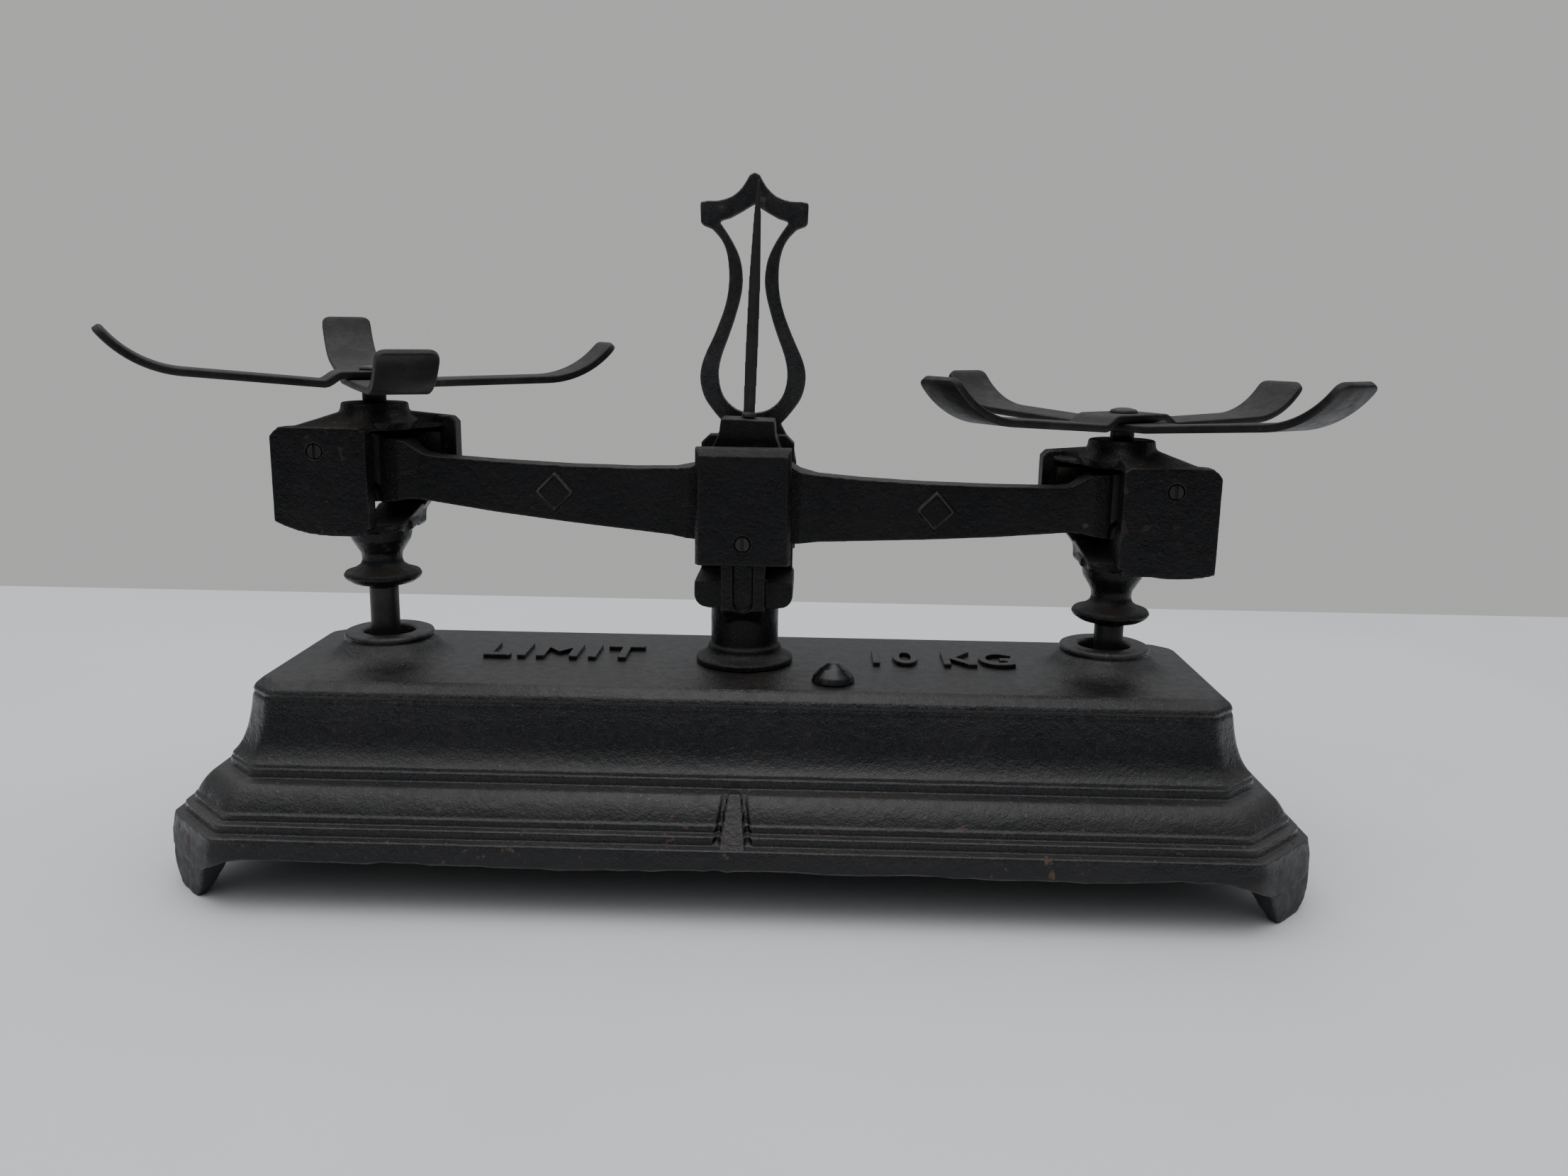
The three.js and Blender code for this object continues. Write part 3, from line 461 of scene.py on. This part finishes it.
def base_skin():
    bm = bmesh.new()
    outer = [ring_of(bm, [weathered(p) for p in base_outline(offset, z)]) for offset, z in moulding_profile()]
    for low, high in zip(outer, outer[1:]):
        bridge(bm, low, high)
    inner_steps = [(28.6, SKIRT), (26.5, 21.5), (25.0, 24.0), (17.0, 32.0), (6.0, 44.0), (-2.0, 58.0),
                   (-5.0, CEILING)]
    inner = [ring_of(bm, [weathered(p) for p in base_outline(offset, z)]) for offset, z in inner_steps]
    for low, high in zip(inner, inner[1:]):
        bridge(bm, high, low)
    bridge(bm, inner[0], outer[0])
    mouths, throats = [], []
    for x in (-COLLAR_X, COLLAR_X):
        rings = [ring_of(bm, circle(x, 0, radius, z)) for radius, z in collar_profile()]
        for low, high in zip(rings, rings[1:]):
            bridge(bm, low, high)
        mouths.append(rings[0])
        throats.append(rings[-1])
    filled(bm, outer[-1], mouths)
    filled(bm, inner[-1], throats)
    return bm


def foot_outline():
    """The foot's shape on the corner facet; +u points to the end of the base."""
    inner_side = [(-15.5, 26.0)] + curve_points((-15.5, 26.0), (-9.0, 8.0), (-1.5, 0.0), 10)
    outer_side = curve_points((11.5, 0.0), (20.0, 3.0), (18.2, 14.0), 10) + [(15.5, 26.0)]
    return inner_side + [(5.0, 0.0), (11.5, 0.0)] + outer_side


def foot_solid(bm, side_x, side_y):
    """One corner foot: a tongue that hangs from the corner facet and is thinner at the floor."""
    facet = 19.5
    middle = Vector((side_x * (TOP_HALF_LENGTH + facet), side_y * (TOP_HALF_WIDTH + facet), 0))
    out = Vector((side_x, side_y, 0)).normalized()
    to_end = Vector((side_x, -side_y, 0)).normalized()
    face, thin_depth, deepening = 0.5, -3.2, -0.34
    rings = []
    for depth, slant in ((face, 0.0), (thin_depth, deepening)):
        points = []
        for u, z in foot_outline():
            points.append(middle + to_end * u + out * (depth + slant * z) + Vector((0, 0, z)))
        rings.append(ring_of(bm, points))
    bridge(bm, rings[0], rings[1])
    bm.faces.new(rings[0])
    bm.faces.new(rings[1])


def rib_solid(bm, side):
    rings = []
    for z, half, y in ((25.6, 4.5, TOP_HALF_WIDTH + 31.5), (41.6, 2.0, TOP_HALF_WIDTH + 18.2)):
        front, back = side * y, side * (y - 7)
        rings.append(ring_of(bm, [(-half, back, z), (-half, front, z), (half, front, z), (half, back, z)]))
    bridge(bm, rings[0], rings[1])
    bm.faces.new(rings[0])
    bm.faces.new(rings[1])


def make_base():
    skin = piece_from("base_body", base_skin(), "base", IRON_BASE, ["base_casting"])
    skin.data.set_sharp_from_angle(angle=math.radians(50))
    for number, (sx, sy) in enumerate([(1, 1), (1, -1), (-1, 1), (-1, -1)], 1):
        bm = bmesh.new()
        foot_solid(bm, sx, sy)
        foot = piece_from(f"base_foot_{number}", bm, "base", IRON_BASE, ())
        soften(foot, 0.7, 5, 0.6, 0.25)
        keep_on_floor(foot)
    for name, side in (("front_rib", -1), ("back_rib", 1)):
        bm = bmesh.new()
        rib_solid(bm, side)
        rib = piece_from(name, bm, "base", IRON_BASE, ())
        soften(rib, 0.35, 3, 0.6, 0.08)


def keep_on_floor(piece):
    for vertex in piece.data.vertices:
        vertex.co.z = max(0.0, vertex.co.z)


# ---- raised capacity lettering -------------------------------------------------
def raised_word(name, word, x, y, widening):
    """Plain raised letters on the top of the base, with the soft edges of a casting."""
    data = bpy.data.curves.new(name, "FONT")
    data.body = word
    data.size = LETTER_SIZE * MM
    data.space_character = 1.12
    data.align_x = "CENTER"
    data.extrude = 1.2 * MM
    data.offset = 0.5 * MM
    text = bpy.data.objects.new(name + "_text", data)
    bpy.context.scene.collection.objects.link(text)
    graph = bpy.context.evaluated_depsgraph_get()
    mesh = bpy.data.meshes.new_from_object(text.evaluated_get(graph))
    bpy.data.objects.remove(text)
    place = Matrix.Translation(Vector((x, y, BASE_TOP + 0.55)) * MM)
    mesh.transform(place @ Matrix.Diagonal((widening, 1.0, 1.0, 1.0)))
    piece = bpy.data.objects.new(name, mesh)
    bpy.context.scene.collection.objects.link(piece)
    soften(piece, 0.35, 3, 0.7)
    finish_piece(piece, "base", IRON_BASE, ())


# ---- plain lozenges on the beam's arms ----------------------------------------
def raised_lozenge(name, x):
    """A plain lozenge with a raised border, standing on the front of one arm of the beam."""
    bm = bmesh.new()
    steps = ((1.0, 0.6), (1.0, -1.0), (0.93, -1.35), (0.82, -1.35), (0.76, -0.95))
    rings = []
    for share, stand in steps:
        w, h = LOZENGE_HALF_WIDTH * share, LOZENGE_HALF_HEIGHT * share
        corners = [(x - w, LOZENGE_Z), (x, LOZENGE_Z - h), (x + w, LOZENGE_Z), (x, LOZENGE_Z + h)]
        ring = []
        for (ax, az), (bx, bz) in zip(corners, corners[1:] + corners[:1]):
            for t in (0.06, 0.5, 0.94):
                ring.append((ax + (bx - ax) * t, BEAM_FACE + stand, az + (bz - az) * t))
        rings.append(ring_of(bm, ring))
    for low, high in zip(rings, rings[1:]):
        bridge(bm, low, high)
    bm.faces.new(rings[0])
    bm.faces.new(rings[-1])
    pivot = Matrix.Translation((0, 0, PIVOT_HEIGHT * MM))
    bm.transform(pivot @ Matrix.Rotation(BEAM_TILT, 4, "Y") @ pivot.inverted())
    piece = piece_from(name, bm, "beam", IRON_HEAD, ())
    piece.data.set_sharp_from_angle(angle=math.radians(25))


# ---- pan crosses ---------------------------------------------------------------
def arm_line(arm, lift):
    """The middle line of one arm, (slope in degrees, extra length), as (distance from the hub, height)."""
    slope = math.radians(arm[0])
    bend_start = BEND_START + arm[1]
    step = HUB_HALF + 6
    points = [(4.0 * i, lift) for i in range(3)]
    for i in range(9):
        r = HUB_HALF - 1 + 8 * i / 8
        drop = lift * (1 - smoothstep(HUB_HALF - 0.5, step, r))
        points.append((r, drop + max(0.0, r - step) * math.tan(slope)))
    for i in range(1, 13):
        r = step + 1 + (bend_start - step - 1) * i / 12
        points.append((r, (r - step) * math.tan(slope)))
    bx, bz = points[-1]
    for i in range(1, 17):
        a = slope + BEND_ANGLE * i / 16
        along = BEND_RADIUS * (math.sin(a) - math.sin(slope))
        points.append((bx + along, bz + BEND_RADIUS * (math.cos(slope) - math.cos(a))))
    return points


def strip_piece(name, side_name, hub, lift, direction, forward, backward):
    """A bent strip with eased edges and rounded tip corners, swept along its middle line."""
    line = [(-r, h) for r, h in reversed(arm_line(backward, lift)[1:])] + arm_line(forward, lift)
    line = [Vector((r, h)) for r, h in line]
    run = [0.0]
    for a, b in zip(line, line[1:]):
        run.append(run[-1] + (b - a).length)
    tip = 3.2
    stations = []
    for end in (0, 1):
        for i in range(5):
            stations.append((end, tip * (1 - math.cos(math.pi / 2 * i / 5))))
    between = {s for s in run if tip < s < run[-1] - tip}
    near_tips = {d if end == 0 else run[-1] - d for end, d in stations}
    distances = sorted(between | near_tips)

    def at(distance):
        k = max(i for i, s in enumerate(run) if s <= distance + 1e-9)
        k = min(k, len(line) - 2)
        t = (distance - run[k]) / (run[k + 1] - run[k])
        before = (line[k] - line[max(k - 1, 0)]) if k else (line[1] - line[0])
        after = line[k + 1] - line[k]
        tangent = (before.normalized() * (1 - t) + after.normalized() * (1 + t)).normalized()
        return line[k].lerp(line[k + 1], t), tangent

    half_t = STRIP_THICKNESS / 2
    turn = Matrix.Rotation(math.radians(direction), 3, "Z")
    bm = bmesh.new()
    rings = []
    for distance in distances:
        middle, tangent = at(distance)
        inward = min(distance, run[-1] - distance)
        shrink = 0.0 if inward >= tip else tip - math.sqrt(max(0.0, tip * tip - (tip - inward) ** 2))
        half_w = STRIP_WIDTH / 2 - min(shrink, tip - 0.3)
        thin = 1.0 if inward > 0.8 else 0.72 + 0.28 * inward / 0.8
        normal = Vector((-tangent.y, tangent.x))
        ring = []
        for across, over in strip_section(half_w, half_t * thin):
            r = middle.x + normal.x * over
            z = middle.y + normal.y * over
            ring.append(hub + turn @ Vector((r, across, z + half_t)))
        rings.append(ring_of(bm, ring))
    for a, b in zip(rings, rings[1:]):
        bridge(bm, a, b)
    bm.faces.new(rings[0])
    bm.faces.new(rings[-1])
    cad_node = name.replace("_bent", "")
    piece = piece_from(name, bm, f"{side_name}_cross", STRIP_PAINT, [cad_node])
    piece.data.set_sharp_from_angle(angle=math.radians(60))


def strip_section(half_w, half_t):
    """A rectangle with eased corners as (across, over) points."""
    ease = min(0.7, half_t * 0.55)
    points = []
    for sx, sz, start in ((1, -1, -90), (1, 1, 0), (-1, 1, 90), (-1, -1, 180)):
        for i in range(4):
            a = math.radians(start + 30 * i)
            across = sx * (half_w - ease) + ease * math.cos(a)
            points.append((across, sz * (half_t - ease) + ease * math.sin(a)))
    return points


def make_cross(side_name, lower, upper):
    low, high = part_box(f"{side_name}_cross_stud")
    middle = (Vector(low) + Vector(high)) / 2 / MM
    hub_z = high[2] / MM - STUD_TOP_TO_STRIP
    hub = Vector((middle.x, middle.y, hub_z))
    strip_piece(f"{side_name}_lower_bent_strip", side_name, hub, 0.0, *lower)
    strip_piece(f"{side_name}_upper_bent_strip", side_name, hub, STRIP_THICKNESS + STRIP_GAP, *upper)


# ---- carried-over and softened pieces --------------------------------------------
def make_castings():
    cast_copy("column_casting", "column_and_fork", "base", IRON_HEAD, 0.5, 3, 0.35)
    cast_copy("front_cover", "front_cover_plate", "base", IRON_HEAD, 0.4, 3, 0.4, 0.04)
    cast_copy("back_cover", "back_cover_plate", "base", IRON_HEAD, 0.4, 3, 0.4, 0.04)
    cast_copy("lyre_frame", "lyre", "base", IRON_LYRE, 0.4, 4, 0.4, 0.05)
    cast_copy("beam_casting", "beam", "beam", IRON_HEAD, 0.4, 1, 0.4, 0.03)
    cast_copy("needle", "needle_blade", "beam", NEEDLE_STEEL, 0.25, 3, 0.6, 0.0)
    cast_copy("seal_plug", "seal_dome", "base", SEAL_PAINT, 0.3, 5, 0.6, 0.03)
    for side in ("left", "right"):
        carrier = f"{side}_carrier"
        cast_copy(f"{side}_carrier_casting", f"{side}_carrier_body", carrier, IRON_CARRIER,
                  0.5, 3, 0.4, 0.06)
        cast_copy(f"{side}_guide_rod", f"{side}_rod", carrier, DARK_STEEL, 0.4, 4, 0.4, 0.0)
        cast_copy(f"{side}_cross_stud", f"{side}_stud", f"{side}_cross", DARK_STEEL,
                  0.3, 3, 0.5, 0.0)
        for face in ("front", "back"):
            screw = f"{side}_{face}_bearing_screw"
            cast_copy(screw, f"{screw}_head", carrier, DARK_STEEL, 0.16, 2, 0.5, 0.0)
    for face in ("front", "back"):
        cast_copy(f"{face}_cover_screw", f"{face}_cover_screw_head", "base", DARK_STEEL,
                  0.16, 2, 0.5, 0.0)


def finish_kept_nodes():
    """The plain steel pieces keep their CAD shape and take the material of their slot."""
    by_slot = {"black_iron": IRON_HEAD, "dark_steel": DARK_STEEL, "knife_steel": BRIGHT_STEEL,
               "cross_steel": STRIP_PAINT, "seal_lead": SEAL_PAINT}
    for entry in frame["record"]["subparts"]:
        node = frame["nodes"][entry["node"]]
        node.data.materials.clear()
        node.data.materials.append(by_slot[entry["material_slot"]])


# ---- stage and light ---------------------------------------------------------------
def make_stage():
    bm = bmesh.new()
    corners = [(-1600, -900, 0), (1600, -900, 0), (1600, 440, 0), (-1600, 440, 0)]
    bm.faces.new([bm.verts.new(Vector(c) * MM) for c in corners])
    mesh = bpy.data.meshes.new("floor")
    bm.to_mesh(mesh)
    bm.free()
    floor = bpy.data.objects.new("floor", mesh)
    mesh.materials.append(pale_cloth())
    bpy.context.scene.collection.objects.link(floor)


def area_light(name, place, target, size, power, colour=(1, 1, 1)):
    data = bpy.data.lights.new(name, "AREA")
    data.shape = "RECTANGLE"
    data.size, data.size_y = size
    data.energy = power
    data.color = colour
    light = bpy.data.objects.new(name, data)
    light.location = place
    light.rotation_euler = (Vector(target) - Vector(place)).to_track_quat("-Z", "Y").to_euler()
    bpy.context.scene.collection.objects.link(light)


def make_light():
    """A wide soft box overhead, in a pale room that is darker low in front of the balance."""
    world = bpy.data.worlds.new("room")
    bpy.context.scene.world = world
    world.use_nodes = True
    world.node_tree.nodes.clear()
    g = Graph(world.node_tree)
    way = g.add("ShaderNodeSeparateXYZ", {"Vector": g.add("ShaderNodeTexCoord").outputs["Generated"]}).outputs
    behind = g.ramp(way["Y"], -0.35, 0.6)
    above = g.ramp(way["Z"], 0.15, 0.75)
    back_light, sky_light, low_light = 0.22, 0.78, 0.03
    from_above = g.math("ADD", g.math("MULTIPLY", above, sky_light), low_light)
    level = g.math("ADD", g.math("MULTIPLY", behind, back_light), from_above)
    lit = g.add("ShaderNodeBackground", {"Color": (0.93, 0.96, 1.0, 1), "Strength": level})
    seen = g.add("ShaderNodeBackground", {"Color": (0.468, 0.466, 0.461, 1), "Strength": 1.0})
    camera_ray = g.add("ShaderNodeLightPath").outputs["Is Camera Ray"]
    mixed = g.add("ShaderNodeMixShader", {0: camera_ray, 1: lit.outputs[0], 2: seen.outputs[0]})
    output = g.add("ShaderNodeOutputWorld")
    g.tree.links.new(mixed.outputs[0], output.inputs[0])
    area_light("overhead", (-0.1, -0.12, 1.3), (0, 0, 0.1), (1.6, 1.3), 9.0)
    area_light("fill", (-0.9, -0.9, 0.8), (0, 0, 0.1), (0.7, 0.7), 0.5)


make_camera()
make_base()
raised_word("limit_word", "LIMIT", -70.0, -4.0, 0.92)
raised_word("capacity_word", "10 KG", 74.5, -4.0, 0.79)
make_castings()
raised_lozenge("left_lozenge", -LOZENGE_X)
raised_lozenge("right_lozenge", LOZENGE_X)
make_cross("left", (115.8, (8.2, 0.0), (0.6, 0.0)), (27, (1.4, 0.5), (5.3, 0.8)))
make_cross("right", (-55.5, (5.0, 4.0), (2.5, -1.0)), (33.5, (1.2, 0.0), (4.1, -1.5)))
finish_kept_nodes()
make_stage()
make_light()
